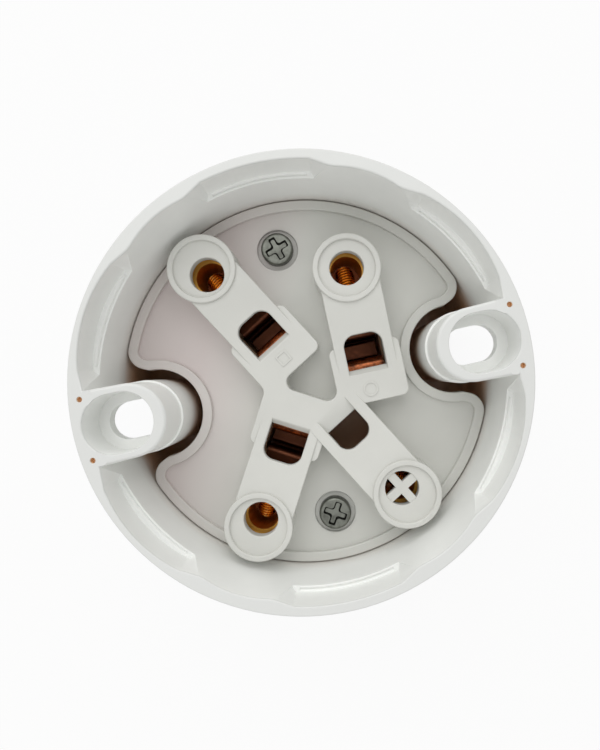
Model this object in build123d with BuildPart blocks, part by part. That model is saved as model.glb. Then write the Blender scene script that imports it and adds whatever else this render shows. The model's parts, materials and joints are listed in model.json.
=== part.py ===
"""Round surface socket outlet, wiring side up: moulded shell, rear plate with four terminal arms."""

import os
from math import asin, cos, degrees, radians, sin, tan

from build123d import *

os.makedirs("parts", exist_ok=True)

# Shell. The front face lies on z = 0 and the rear rim is on top, in millimetres.
total_height = 34.0
rim_radius = 33.0
body_draft = 1.7
rim_wall = 2.2
front_wall = 2.4
front_edge_radius = 7.0

# Knock-outs in the rear rim, for cables
knockout_count = 6
knockout_first_angle = 30.0
knockout_wall = 1.45
knockout_depth = 5.4
knockout_tower_gap = 0.2
knockout_ramp = 5.3
knockout_floor_ramp = 1.0
knockout_bulge = 0.5
break_line_width = 0.5
break_line_depth = 0.3
cut_overlap = 1.0

# Shallow scallops in the thick wall between the knock-outs
scallop_angles = (60.0, 120.0, 240.0, 300.0)
scallop_radius = 16.0
scallop_depth = 0.35
scallop_height = 13.0

# Mounting towers at the left and right, with a well above the shelf and a notch below it
tower_inset = 8.1
tower_radius = 5.3
tower_wall = 1.0
tower_flare = 0.35
tower_step_depth = 8.0
tower_step = 0.3
well_inset = 7.3
well_stretch = 1.6
well_depth = 6.0
shelf_thickness = 2.0
slot_inset = 7.0
slot_length = 7.9
slot_width = 5.7
notch_inset = 7.5
notch_radius = 4.3
dimple_inset = 2.0
dimple_y = 4.4
dimple_diameter = 0.8
dimple_depth = 1.0

# Pins: flat blades, across each arm. The angle is the arm's own direction.
pin_circle = 7.92
earth_pin_x = 10.31
pin_slot_length = 7.0
pin_slot_width = 2.0
pin_slot_lead_in = 0.4

# Rear plate
plate_clearance = 0.12
plate_depth = 15.3
plate_thickness = 2.0
lip_width = 1.6
lip_height = 0.8
bay_shift = 0.3
bay_gap = 1.75
bay_mouth_half_width = 7.9
bay_corner_radius = 3.0

# Terminal arms, measured along the arm from the pin's centre
pad_inset = 9.08
arm_top_depth = 10.4
arm_rise = 1.3
arm_fold = 6.3
arm_fold_rise = 0.7
arm_width = 9.5
arm_end = 5.5
shoulder_width = 11.4
shoulder_end = 4.0
shoulder_corner = 1.2
inner_corner_reach = 6.9
web_end = 5.95
web_reach = 7.5
web_width = 3.5
notch_corner = 1.5
arm_ceiling = 1.3
arm_hollow_width = 7.1
arm_hollow_end = 2.6
arm_hollow_raise = 0.8
arm_hollow_raise_start = 3.5
window_length = 5.5
window_width = 6.2
window_corner = 1.9
window_slope = 0.8
loop_window_start = 0.8
loop_window_end = 5.2
loop_window_width = 5.8
loop_window_slope = 2.7
square_mark = 2.0
square_offset = 2.9
ring_mark = 2.4
ring_offset = 3.4
ring_shift = 0.3
mark_line = 0.3
mark_height = 0.15

# Round pads over the wire holes
pad_diameter = 10.8
pad_depth = 8.6
pad_ring = 0.9
pad_dish = 0.6
wire_hole_diameter = 5.4
wire_hole_offset = 1.2
cross_bar_width = 1.4
cross_bar_drop = 0.25
cross_bar_thickness = 1.0

# Terminal blocks and their screws
block_fit = 0.15
block_height = 8.4
block_end_wall = 0.8
block_nose = 5.94
block_nose_height = 1.2
block_foot = 4.4
tunnel_diameter = 5.2
screw_tilt = 30.0
screw_diameter = 3.1
screw_running_clearance = 0.05
screw_reach = 12.5
screw_drop = 1.4
head_diameter = 4.2
head_height = 1.8
head_start = 6.7
shaft_length = 7.2
shaft_tip_chamfer = 0.4
seat_start = 8.9
drive_slot_width = 0.7
drive_slot_depth = 0.9

# Contacts: one folded strip each
strip_thickness = 0.8
strip_side_gap = 0.35
strip_bend = 0.9
strip_drop = 5.0
strip_fold = 5.2
pin_thickness = 1.6
pin_grip_clearance = 0.05
leaf_gap = 1.5
leaf_tip = 4.4
chamber_wall = 1.2
chamber_gap = 0.5

# Screws that hold the plate to the shell
plate_screw_inset = 10.5
plate_screw_head = 5.3
plate_screw_head_height = 1.9
plate_screw_shaft = 2.9
plate_screw_length = 9.0
counterbore_gap = 0.7
counterbore_depth = 0.6
plate_hole_gap = 0.25
pilot_bite = 0.2
head_dome = 0.9
boss_diameter = 8.0
cross_recess_span = 3.1
cross_recess_width = 0.8
cross_recess_depth = 1.2
cross_recess_turn = 17.7

# Levels that several pieces share
plate_floor = total_height - plate_depth
plate_under = plate_floor - plate_thickness
arm_top = total_height - arm_top_depth
pad_top = total_height - pad_depth
pad_floor = pad_top - pad_dish
shelf_top = total_height - well_depth
shelf_under = shelf_top - shelf_thickness
knockout_floor = total_height - knockout_depth
hollow_top = arm_top - arm_ceiling
hollow_raised = hollow_top + arm_hollow_raise
screw_level = arm_top - screw_drop
block_top = screw_level - arm_ceiling
block_under = block_top - block_height
strip_under = block_under - strip_thickness
leaf_top = plate_floor - leaf_gap
outer_foot = rim_radius - total_height * tan(radians(body_draft))
inner_rim = rim_radius - rim_wall
inner_foot = inner_rim - (total_height - front_wall) * tan(radians(body_draft))
plate_radius = inner_rim - (total_height - plate_under) * tan(radians(body_draft)) - plate_clearance
tower_centre = rim_radius - tower_inset
well_centre = rim_radius - well_inset
well_radius = tower_radius - tower_wall
slot_centre = rim_radius - slot_inset
notch_centre = rim_radius - notch_inset
bay_centre = tower_centre + bay_shift
bay_radius = tower_radius + tower_step + bay_gap
arm_pitch = rim_radius - pad_inset - pin_circle
tower_side_angle = degrees(asin((tower_radius + knockout_tower_gap) / inner_rim))
knockout_ramp_angle = knockout_first_angle - tower_side_angle
knockout_half_angle = knockout_ramp_angle - knockout_ramp
knockout_floor_angle = knockout_half_angle + knockout_floor_ramp
strip_width = arm_hollow_width - 2 * strip_side_gap
plate_screw_y = rim_radius - plate_screw_inset
leaf_centre = pin_thickness / 2 + pin_grip_clearance + strip_thickness / 2

# Arms: name, direction, pin position, and how far the wire hole lies inside the pad's centre
radial_pin = {angle: (pin_circle * cos(radians(angle)), pin_circle * sin(radians(angle)))
              for angle in (120, 240, 300)}
arms = {
    "active": (120, radial_pin[120], wire_hole_offset),
    "neutral": (240, radial_pin[240], wire_hole_offset),
    "loop": (300, radial_pin[300], wire_hole_offset),
    "earth": (90, (earth_pin_x, 0), 0),
}
contact_arms = ("active", "neutral", "earth")


def arm_plane(name, level=0.0):
    """Flat plane at a level, with its x axis along the arm and its origin at the pin."""
    angle, (pin_x, pin_y), _ = arms[name]
    return Plane(
        origin=(pin_x, pin_y, level),
        x_dir=(cos(radians(angle)), sin(radians(angle)), 0),
        z_dir=(0, 0, 1),
    )


def arm_side(name):
    """Upright plane through the arm's middle: x runs along the arm and y runs up."""
    angle, (pin_x, pin_y), _ = arms[name]
    return Plane(
        origin=(pin_x, pin_y, 0),
        x_dir=(cos(radians(angle)), sin(radians(angle)), 0),
        z_dir=(sin(radians(angle)), -cos(radians(angle)), 0),
    )


def wire_hole(name):
    """Distance of the wire hole from the pin, along the arm."""
    return arm_pitch - arms[name][2]


def screw_point(name, travel):
    """Point on the terminal screw's axis, along the arm and up."""
    return (
        wire_hole(name) - screw_reach + travel * cos(radians(screw_tilt)),
        screw_level - travel * sin(radians(screw_tilt)),
    )


def screw_plane(name, travel):
    """Plane across the terminal screw, with its z axis pointing towards the tip."""
    along, up = screw_point(name, travel)
    side = arm_side(name)
    origin = side.from_local_coords(Vector(along, up, 0))
    tilt = radians(screw_tilt)
    tip_dir = side.x_dir * cos(tilt) + side.z_dir.cross(side.x_dir) * -sin(tilt)
    return Plane(origin=origin, x_dir=side.z_dir, z_dir=tip_dir)


def wall_plane(angle, level):
    """Flat plane at a level whose x axis points at the wall."""
    return Plane(
        origin=(0, 0, level), x_dir=(cos(radians(angle)), sin(radians(angle)), 0), z_dir=(0, 0, 1)
    )


def rounded_to(radius, angle):
    """Point on a circle about the socket's middle."""
    return (radius * cos(radians(angle)), radius * sin(radians(angle)))


def tower_outline(grow):
    """Both towers seen from above: a round inner end whose sides flare to the wall."""
    with BuildSketch() as outline:
        with BuildLine():
            half = tower_radius
            ThreePointArc((tower_centre, half), (tower_centre - half, 0), (tower_centre, -half))
            Polyline(
                (tower_centre, -half),
                (rim_radius + rim_wall, -half - tower_flare),
                (rim_radius + rim_wall, half + tower_flare),
                (tower_centre, half),
            )
        make_face()
        if grow:
            offset(amount=grow)
        mirror(about=Plane.YZ)
    return outline.sketch


def bay_outline():
    """Rear plate seen from above: a disc with a bay round each tower."""
    with BuildSketch() as outline:
        Circle(plate_radius)
        with BuildSketch(mode=Mode.PRIVATE) as bay:
            with BuildLine():
                ThreePointArc(
                    (bay_centre, bay_radius), (bay_centre - bay_radius, 0), (bay_centre, -bay_radius)
                )
                Polyline(
                    (bay_centre, -bay_radius),
                    (rim_radius, -bay_mouth_half_width - bay_corner_radius),
                    (rim_radius, bay_mouth_half_width + bay_corner_radius),
                    (bay_centre, bay_radius),
                )
            make_face()
            mirror(about=Plane.YZ)
        add(bay.sketch, mode=Mode.SUBTRACT)
        corners = outline.vertices().filter_by(
            lambda v: Vector(v.X, v.Y).length > plate_radius - 0.01 and abs(v.X) > plate_radius / 2
        )
        fillet(corners, radius=bay_corner_radius)
    return outline.sketch


def arm_place(name):
    """Place of an arm's pin in a flat sketch, turned along the arm."""
    angle, (pin_x, pin_y), _ = arms[name]
    return Locations(Location((pin_x, pin_y, 0), (0, 0, angle)))


def window_span(name):
    """Where the window begins and ends along the arm, and half its width."""
    if name == "loop":
        return loop_window_start, loop_window_end, loop_window_width / 2
    return 0, window_length, window_width / 2


def ramp_start(name):
    """Where the ramp at the window's inner edge begins."""
    return window_span(name)[0] - (loop_window_slope if name == "loop" else window_slope)


# Room inside the shell, less the towers, bosses, ribs and chambers that stand in it
with BuildPart() as room:
    with BuildSketch(Plane.XZ):
        Polygon(
            (0, front_wall), (inner_foot, front_wall), (inner_rim, total_height), (0, total_height),
            align=None,
        )
    revolve(axis=Axis.Z)
    fillet(room.edges().sort_by(Axis.Z)[0], radius=front_edge_radius - rim_wall)
    with BuildSketch(Plane.XY.offset(front_wall)):
        add(tower_outline(tower_step))
    extrude(amount=total_height - tower_step_depth - front_wall, mode=Mode.SUBTRACT)
    with BuildSketch(Plane.XY.offset(front_wall)):
        add(tower_outline(0))
    extrude(amount=total_height - front_wall, mode=Mode.SUBTRACT)
    with BuildSketch(Plane.XY.offset(front_wall)):
        with Locations((0, plate_screw_y), (0, -plate_screw_y)):
            Circle(boss_diameter / 2)
    extrude(amount=plate_under - front_wall, mode=Mode.SUBTRACT)
    for angle in scallop_angles:
        with BuildSketch(wall_plane(angle, front_wall)):
            with Locations((inner_rim, 0)):
                Rectangle(2 * bay_corner_radius, rim_wall)
        extrude(amount=plate_under - front_wall, mode=Mode.SUBTRACT)
    for name in contact_arms:
        with BuildSketch(arm_plane(name, front_wall)) as chamber:
            inner_end = -leaf_centre - strip_thickness / 2 - chamber_gap
            outer_end = strip_fold + strip_thickness / 2 + chamber_gap
            with Locations(((inner_end + outer_end) / 2, 0)):
                Rectangle(outer_end - inner_end, strip_width + 2 * chamber_gap)
                offset(amount=chamber_wall, kind=Kind.INTERSECTION, mode=Mode.REPLACE)
                Rectangle(
                    outer_end - inner_end, strip_width + 2 * chamber_gap, mode=Mode.SUBTRACT
                )
        extrude(amount=strip_under - front_wall, mode=Mode.SUBTRACT)
    for name in arms:
        seat = strip_under if name in contact_arms else block_under
        with BuildSketch(arm_plane(name, front_wall)):
            with Locations((wire_hole(name), 0)):
                Rectangle(tunnel_diameter / 2, arm_hollow_width - 2 * chamber_wall)
        extrude(amount=seat - front_wall, mode=Mode.SUBTRACT)

with BuildPart() as shell:
    with BuildSketch(Plane.XZ):
        Polygon(
            (0, 0), (outer_foot, 0), (rim_radius, total_height), (0, total_height), align=None
        )
    revolve(axis=Axis.Z)
    fillet(shell.edges().sort_by(Axis.Z)[0], radius=front_edge_radius)
    add(room.part, mode=Mode.SUBTRACT)
    for step in range(knockout_count):
        angle = knockout_first_angle + step * 360 / knockout_count
        beside_tower = abs(cos(radians(angle))) > 0.5
        thin_radius = rim_radius - knockout_wall
        bulge = knockout_bulge if beside_tower else 0
        half = knockout_half_angle
        for level, wide in (
            (knockout_floor, knockout_floor_angle),
            (total_height, knockout_ramp_angle),
        ):
            with BuildSketch(wall_plane(angle, level)):
                with BuildLine():
                    ThreePointArc(
                        rounded_to(thin_radius, -half),
                        (thin_radius + bulge, 0),
                        rounded_to(thin_radius, half),
                    )
                    Polyline(
                        rounded_to(thin_radius, half),
                        rounded_to(inner_rim, wide),
                        rounded_to(inner_rim - cut_overlap, wide),
                        rounded_to(inner_rim - cut_overlap, -wide),
                        rounded_to(inner_rim, -wide),
                        rounded_to(thin_radius, -half),
                    )
                make_face()
        loft(mode=Mode.SUBTRACT)
        groove_half = knockout_half_angle - knockout_floor_ramp
        groove_radius = (inner_rim + thin_radius) / 2
        groove_plane = Plane(
            origin=(0, 0, 0),
            x_dir=(*rounded_to(1, angle - groove_half), 0),
            z_dir=(*rounded_to(1, angle - groove_half - 90), 0),
        )
        with BuildSketch(groove_plane):
            Polygon(
                (groove_radius - break_line_width / 2, knockout_floor),
                (groove_radius, knockout_floor - break_line_depth),
                (groove_radius + break_line_width / 2, knockout_floor),
                align=None,
            )
        revolve(axis=Axis.Z, revolution_arc=2 * groove_half, mode=Mode.SUBTRACT)
    for angle in scallop_angles:
        lean = scallop_depth / scallop_height + tan(radians(body_draft))
        rim_plane = wall_plane(angle, total_height)
        with BuildSketch(rim_plane):
            with Locations((inner_rim + scallop_depth - scallop_radius, 0)):
                Circle(scallop_radius)
            Circle(inner_rim - rim_wall, mode=Mode.SUBTRACT)
        down = -rim_plane.z_dir - rim_plane.x_dir * lean
        extrude(amount=scallop_height, dir=down, mode=Mode.SUBTRACT)
    with BuildSketch(Plane.XY.offset(shelf_top)):
        with Locations((well_centre + well_stretch / 2, 0), (-well_centre - well_stretch / 2, 0)):
            SlotCenterToCenter(well_stretch, 2 * well_radius)
    extrude(amount=well_depth, mode=Mode.SUBTRACT)
    with BuildSketch(Plane.XY.offset(shelf_under)):
        with Locations((slot_centre, 0), (-slot_centre, 0)):
            SlotOverall(slot_length, slot_width)
    extrude(amount=shelf_thickness, mode=Mode.SUBTRACT)
    with BuildSketch():
        with Locations((notch_centre, 0), (-notch_centre, 0)):
            Circle(notch_radius)
        reach = rim_radius + rim_wall - notch_centre
        with Locations((notch_centre + reach / 2, 0), (-notch_centre - reach / 2, 0)):
            Rectangle(reach, 2 * notch_radius)
    extrude(amount=shelf_under, mode=Mode.SUBTRACT)
    with BuildSketch(Plane.XY.offset(total_height)):
        with GridLocations(2 * (rim_radius - dimple_inset), 2 * dimple_y, 2, 2):
            Circle(dimple_diameter / 2)
    extrude(amount=-dimple_depth, mode=Mode.SUBTRACT)
    for name in contact_arms:
        with BuildSketch(arm_plane(name)):
            Rectangle(pin_slot_width, pin_slot_length)
        extrude(amount=front_wall, mode=Mode.SUBTRACT)
        with BuildSketch(arm_plane(name)):
            Rectangle(pin_slot_width + 2 * pin_slot_lead_in, pin_slot_length + 2 * pin_slot_lead_in)
        with BuildSketch(arm_plane(name, pin_slot_lead_in)):
            Rectangle(pin_slot_width, pin_slot_length)
        loft(mode=Mode.SUBTRACT)
    with BuildSketch(Plane.XY.offset(plate_under)):
        with Locations((0, plate_screw_y), (0, -plate_screw_y)):
            Circle(plate_screw_shaft / 2 - pilot_bite)
    extrude(amount=-plate_screw_length, mode=Mode.SUBTRACT)

shell.part.label = "shell"
export_step(shell.part, "parts/shell.step")

# Rear plate: floor, lip, arms, pads and the web that ties the arms together
with BuildPart() as back_plate:
    with BuildSketch(Plane.XY.offset(plate_under)):
        add(bay_outline())
    extrude(amount=plate_thickness + lip_height)
    with BuildSketch(Plane.XY.offset(plate_floor)):
        add(bay_outline())
        offset(amount=-lip_width, mode=Mode.REPLACE)
    extrude(amount=lip_height, mode=Mode.SUBTRACT)
    with BuildSketch(Plane.XY.offset(plate_floor)) as flats:
        for name in contact_arms:
            reach = web_end if name == "neutral" else arm_end
            with arm_place(name):
                with Locations(((shoulder_end - reach) / 2, 0)):
                    RectangleRounded(shoulder_end + reach, shoulder_width, shoulder_corner)
        for name in ("active", "earth"):
            with arm_place(name):
                with Locations((-arm_end, shoulder_width / 2)):
                    Rectangle(arm_end, 2 * shoulder_corner, align=(Align.MIN, Align.MAX))
        with arm_place("neutral"):
            with Locations((-web_end, 0)):
                Rectangle(web_width, web_reach, align=(Align.MIN, Align.MIN))
        inner_corners = flats.vertices().filter_by(
            lambda v: Vector(v.X, v.Y).length < inner_corner_reach and v.Y < notch_corner
        )
        fillet(inner_corners, radius=notch_corner)
    extrude(amount=arm_top - plate_floor)
    for name in arms:
        with BuildSketch(arm_side(name)):
            Polygon(
                (ramp_start(name), plate_floor),
                (arm_pitch, plate_floor),
                (arm_pitch, arm_top + arm_rise),
                (arm_pitch - pad_diameter / 2, arm_top + arm_rise),
                (arm_fold, arm_top + arm_fold_rise),
                (ramp_start(name), arm_top),
                align=None,
            )
        extrude(amount=arm_width / 2, both=True)
    for name in arms:
        with BuildSketch(arm_plane(name, plate_floor)):
            with Locations((arm_pitch, 0)):
                Circle(pad_diameter / 2)
        extrude(amount=pad_top - plate_floor)
        with BuildSketch(arm_plane(name, pad_floor)):
            with Locations((arm_pitch, 0)):
                Circle(pad_diameter / 2 - pad_ring)
        extrude(amount=pad_dish, mode=Mode.SUBTRACT)
    for name in arms:
        hollow_end = wire_hole(name) + tunnel_diameter / 2 + block_end_wall + block_fit
        for hollow_start, ceiling in (
            (-arm_hollow_end, hollow_top),
            (arm_hollow_raise_start, hollow_raised),
        ):
            with BuildSketch(arm_plane(name, plate_under)):
                with Locations((hollow_start, 0)):
                    Rectangle(
                        hollow_end - hollow_start, arm_hollow_width, align=(Align.MIN, Align.CENTER)
                    )
            extrude(amount=ceiling - plate_under, mode=Mode.SUBTRACT)
        with BuildSketch(arm_plane(name, hollow_top - arm_ceiling)):
            start, end, half = window_span(name)
            with BuildLine():
                Polyline(
                    (end - window_corner, half), (start, half), (start, -half),
                    (end - window_corner, -half),
                )
                RadiusArc((end - window_corner, half), (end, half - window_corner), window_corner)
                Line((end, half - window_corner), (end, window_corner - half))
                RadiusArc((end, window_corner - half), (end - window_corner, -half), window_corner)
            make_face()
            with Locations((wire_hole(name), 0)):
                Circle(wire_hole_diameter / 2)
        extrude(amount=pad_top - hollow_top + arm_ceiling, mode=Mode.SUBTRACT)
        with BuildSketch(arm_side(name)):
            Polygon(
                (ramp_start(name), arm_top),
                (start, hollow_top + arm_ceiling / 4),
                (start, pad_top),
                (ramp_start(name), pad_top),
                align=None,
            )
        extrude(amount=half, both=True, mode=Mode.SUBTRACT)
    with BuildSketch(arm_plane("loop", pad_floor - cross_bar_drop)):
        with Locations((wire_hole("loop"), 0)):
            Rectangle(wire_hole_diameter, cross_bar_width)
            Rectangle(cross_bar_width, wire_hole_diameter)
    extrude(amount=-cross_bar_thickness)
    with BuildSketch(arm_plane("active", arm_top)):
        with Locations((-square_offset, 0)):
            Rectangle(square_mark, square_mark)
            Rectangle(square_mark - 2 * mark_line, square_mark - 2 * mark_line, mode=Mode.SUBTRACT)
    with BuildSketch(arm_plane("earth", arm_top)):
        with Locations((-ring_offset, ring_shift)):
            Circle(ring_mark / 2)
            Circle(ring_mark / 2 - mark_line, mode=Mode.SUBTRACT)
    extrude(amount=mark_height)
    with BuildSketch(Plane.XY.offset(plate_floor)):
        with Locations((0, plate_screw_y), (0, -plate_screw_y)):
            Circle(plate_screw_head / 2 + counterbore_gap)
    extrude(amount=-counterbore_depth, mode=Mode.SUBTRACT)
    with BuildSketch(Plane.XY.offset(plate_floor)):
        with Locations((0, plate_screw_y), (0, -plate_screw_y)):
            Circle(plate_screw_shaft / 2 + plate_hole_gap)
    extrude(amount=-plate_thickness, mode=Mode.SUBTRACT)
    with BuildSketch(Plane.XY.offset(plate_under)):
        add(bay_outline())
    extrude(amount=total_height - plate_under, mode=Mode.INTERSECT)

back_plate.part.label = "back_plate"
export_step(back_plate.part, "parts/back_plate.step")

# Terminal blocks: a wire tunnel from the rear, and a leaning face with the screw's threaded hole
for name in arms:
    middle = wire_hole(name)
    outer_end = middle + tunnel_diameter / 2 + block_end_wall
    with BuildPart() as block:
        with BuildSketch(arm_side(name)):
            seat_along, seat_up = screw_point(name, seat_start)
            lean = tan(radians(screw_tilt))
            nose = middle - block_nose
            nose_top = seat_up - (seat_along - nose) / lean
            Polygon(
                (outer_end, block_under),
                (outer_end, block_top),
                (seat_along + (block_top - seat_up) * lean, block_top),
                (nose, nose_top),
                (nose, nose_top - block_nose_height),
                (middle - block_foot, block_under),
                align=None,
            )
        extrude(amount=arm_hollow_width / 2 - block_fit, both=True)
        with BuildSketch(arm_plane(name, block_under)):
            with Locations((middle, 0)):
                Circle(tunnel_diameter / 2)
        extrude(amount=block_height, mode=Mode.SUBTRACT)
        with BuildSketch(screw_plane(name, seat_start - head_height)):
            Circle(screw_diameter / 2 + screw_running_clearance)
        extrude(amount=screw_reach - seat_start + head_height, mode=Mode.SUBTRACT)
    block.part.label = f"{name}_terminal"
    export_step(block.part, f"parts/{name}_terminal.step")

# Terminal screws: cheese head towards the window, plain shaft through the block into the tunnel
for name in arms:
    with BuildPart() as screw:
        with BuildSketch(screw_plane(name, head_start)):
            Circle(head_diameter / 2)
        extrude(amount=head_height)
        with BuildSketch(screw_plane(name, head_start)):
            Rectangle(head_diameter, drive_slot_width)
        extrude(amount=drive_slot_depth, mode=Mode.SUBTRACT)
        with BuildSketch(screw_plane(name, head_start + head_height)):
            Circle(screw_diameter / 2)
        extrude(amount=shaft_length)
        tip = screw_plane(name, head_start + head_height + shaft_length)
        tip_edge = screw.edges().filter_by(GeomType.CIRCLE).sort_by_distance(tip.origin)[0]
        chamfer(tip_edge, length=shaft_tip_chamfer)
    screw.part.label = f"{name}_screw"
    export_step(screw.part, f"parts/{name}_screw.step")

# Contacts: a strip that lies under the block, folds down, and comes back up as two leaves
for name in contact_arms:
    strip_level = strip_under + strip_thickness / 2
    with BuildPart() as contact:
        with BuildSketch(arm_side(name)):
            with BuildLine():
                FilletPolyline(
                    (wire_hole(name) + tunnel_diameter / 2, strip_level),
                    (strip_fold, strip_level),
                    (strip_fold, strip_level - strip_drop),
                    (leaf_centre, strip_level - strip_drop),
                    (leaf_centre, leaf_top - strip_thickness / 2),
                    (-leaf_centre, leaf_top - strip_thickness / 2),
                    (-leaf_centre, leaf_tip),
                    radius=strip_bend,
                )
            trace(line_width=strip_thickness)
        extrude(amount=strip_width / 2, both=True)
    contact.part.label = f"{name}_contact"
    export_step(contact.part, f"parts/{name}_contact.step")

# Screws that hold the plate down on the shell's two bosses
for name, screw_y in (("upper", plate_screw_y), ("lower", -plate_screw_y)):
    seat_level = plate_floor - counterbore_depth
    with BuildPart() as plate_screw:
        with BuildSketch(Plane.XY.offset(seat_level)):
            with Locations((0, screw_y)):
                Circle(plate_screw_head / 2)
        extrude(amount=plate_screw_head_height)
        head_edge = plate_screw.edges().filter_by(GeomType.CIRCLE).sort_by(Axis.Z)[-1]
        fillet(head_edge, radius=head_dome)
        with BuildSketch(Plane.XY.offset(seat_level)):
            with Locations((0, screw_y)):
                Circle(plate_screw_shaft / 2)
        extrude(amount=-plate_screw_length)
        with BuildSketch(Plane.XY.offset(seat_level + plate_screw_head_height)):
            with Locations(Location((0, screw_y, 0), (0, 0, cross_recess_turn))):
                Rectangle(cross_recess_span, cross_recess_width)
                Rectangle(cross_recess_width, cross_recess_span)
        extrude(amount=-cross_recess_depth, mode=Mode.SUBTRACT)
    plate_screw.part.label = f"plate_screw_{name}"
    export_step(plate_screw.part, f"parts/plate_screw_{name}.step")
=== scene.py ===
"""Surface socket outlet, wiring side up: moulded edges, screws and finishes over the model."""

import json
from math import cos, hypot, pi, radians, sin

import bmesh
import bpy
from mathutils import Matrix, Vector


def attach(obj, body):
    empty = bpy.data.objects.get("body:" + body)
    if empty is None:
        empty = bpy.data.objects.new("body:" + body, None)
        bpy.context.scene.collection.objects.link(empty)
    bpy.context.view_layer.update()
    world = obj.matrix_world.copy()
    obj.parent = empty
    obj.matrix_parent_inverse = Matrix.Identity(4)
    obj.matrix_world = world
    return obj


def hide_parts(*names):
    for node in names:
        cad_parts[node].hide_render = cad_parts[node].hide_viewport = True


bl_info = {
    "name": "Surface Socket Outlet",
    "version": (1, 0, 0),
    "blender": (4, 5, 0),
    "location": "3D Viewport > Sidebar > Socket",
    "description": "Finishes a surface socket outlet: mouldings, screws, metalwork and studio",
    "category": "Object",
}

MM = 0.001

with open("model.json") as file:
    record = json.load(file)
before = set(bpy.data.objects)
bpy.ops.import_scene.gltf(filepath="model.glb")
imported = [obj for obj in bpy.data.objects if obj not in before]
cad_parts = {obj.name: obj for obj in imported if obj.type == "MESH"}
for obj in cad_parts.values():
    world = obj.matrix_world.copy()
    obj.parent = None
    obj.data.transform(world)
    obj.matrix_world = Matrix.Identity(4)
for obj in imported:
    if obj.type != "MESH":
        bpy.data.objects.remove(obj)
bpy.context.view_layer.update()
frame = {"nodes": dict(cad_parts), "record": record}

# Sizes of the model, in millimetres; a level is a height over the front face
FRONT_WALL = 2.4
RIM_LEVEL = 34.0
KNOCKOUT_FLOOR = 28.6
PLATE_FLOOR = 18.7
ARM_TOP = 23.6

# Arms: direction in degrees, the pin's place, and the wire hole's distance from the pin
PIN_CIRCLE = 7.92
EARTH_PIN = 10.31
WIRE_HOLE = 14.8
EARTH_WIRE_HOLE = 16.0
ARMS = {
    name: (
        angle, (PIN_CIRCLE * cos(radians(angle)), PIN_CIRCLE * sin(radians(angle))), WIRE_HOLE
    )
    for name, angle in (("active", 120.0), ("neutral", 240.0), ("loop", 300.0))
}
ARMS["earth"] = (90.0, (EARTH_PIN, 0.0), EARTH_WIRE_HOLE)

# Wall, by distance from the middle: an edge past WALL_INSIDE is on the wall and one past
# WALL_OUTSIDE on its outside, and a face short of WALL_MIDDLE looks into the shell
WALL_INSIDE = 30.0
WALL_MIDDLE = 31.2
WALL_OUTSIDE = 31.3

# The front edge is rounded past FRONT_EDGE_INSIDE and below the level FRONT_EDGE_TOP
FRONT_EDGE_INSIDE = 24.0
FRONT_EDGE_TOP = 5.5

# Knock-outs: the band that they lie in, and the break lines along it
KNOCKOUT_BAND = (29.5, 32.0)
BREAK_LINE_RADIUS = 31.2
BREAK_LINE_REACH = 0.4

# Towers: TOWER_ZONE is the half width where no knock-out lies, TOWER_FLARE the spread of a tower's
# sides and TOWER_OUTLINE how near its outline an edge counts as on it; notches; and dimples
TOWER_CENTRE = 24.9
TOWER_RADIUS = 5.3
TOWER_LEDGE = 26.0
TOWER_ZONE = 5.5
TOWER_FLARE = 1.0
TOWER_OUTLINE = 0.3
NOTCH_CENTRE = 25.5
NOTCH_RADIUS = 4.3
NOTCH_MARGIN = 0.4
NOTCH_START = 1.0
DIMPLE = (31.0, 4.4)
DIMPLE_REACH = 0.62
DIMPLE_DEPTH = 0.7

# The plate's raised marks and the cross in the loop arm's hole
MARKED_ARMS = ("active", "earth")
MARK_PLACE = -3.2
MARK_REACH = 1.8
CROSS_REACH = 3.2

# An edge counts as lying on a level when it is this near
NEAR = 0.1

# Terminal screws, measured along their axis from travel 0
SCREW_TILT = radians(30.0)
SCREW_REACH = 12.5
SCREW_LEVEL = 22.2
HEAD_START = 6.7
HEAD_HEIGHT = 1.8
HEAD_DIAMETER = 4.2
SHAFT_LENGTH = 7.2
DRIVE_SLOT_WIDTH = 0.7
DRIVE_SLOT_DEPTH = 0.9
HEAD_ROUNDING = 0.2

# Screws that hold the plate
PLATE_SCREW_Y = 22.5
PLATE_SCREW_SEAT = 18.1
PAN_DIAMETER = 5.3
PAN_HEIGHT = 1.9
PAN_ROUNDING = 0.45
PAN_SHAFT = 9.0
RECESS_SPAN = 3.9
RECESS_WIDTH = 1.15
RECESS_FILLET = 0.4
RECESS_DEPTH = 0.45
RECESS_LEAN = 0.24
PLATE_SCREWS = {
    "upper": (PLATE_SCREW_Y, radians(17.7)),
    "lower": (-PLATE_SCREW_Y, radians(58.5)),
}

# Both kinds of screw: how far a thread runs into its head, the steps of a turn and of a head, and
# the thread's profile as shares of its depth under the crest and pitches behind the start
HEAD_OVERLAP = 0.2
THREAD_STEPS = 32
HEAD_STEPS = 64
THREAD_PROFILE = (
    (1.0, 1.5), (1.0, 1.38), (0.12, 1.08), (0.0, 1.0), (0.12, 0.92), (1.0, 0.62), (1.0, 0.5),
)

# Angles under which faces are one plane, a moulding or head is smooth, and a thread is smooth,
# and over which a moulded corner is rounded
FLAT_ANGLE = radians(0.6)
SMOOTH_ANGLE = radians(34.0)
THREAD_ANGLE = radians(50.0)
CORNER_ANGLE = radians(28.0)

# Painted shade in the shell: start and full level, share and colour of each band; the top is
# painted a shade greyer from the first to the second depth under the rim
PAINTED_SHADE_BANDS = ((22.0, 16.5, 0.5, "#BDA695"), (19.4, 14.8, 1.0, "#E2BA97"))
PAINTED_TOP_SHADE_BAND = (0.4, 0.1)
PAINTED_TOP_SHADE_COLOUR = "#D9DAD7"
DIMPLE_SHADE_COLOUR = "#EFCAA0"
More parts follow.
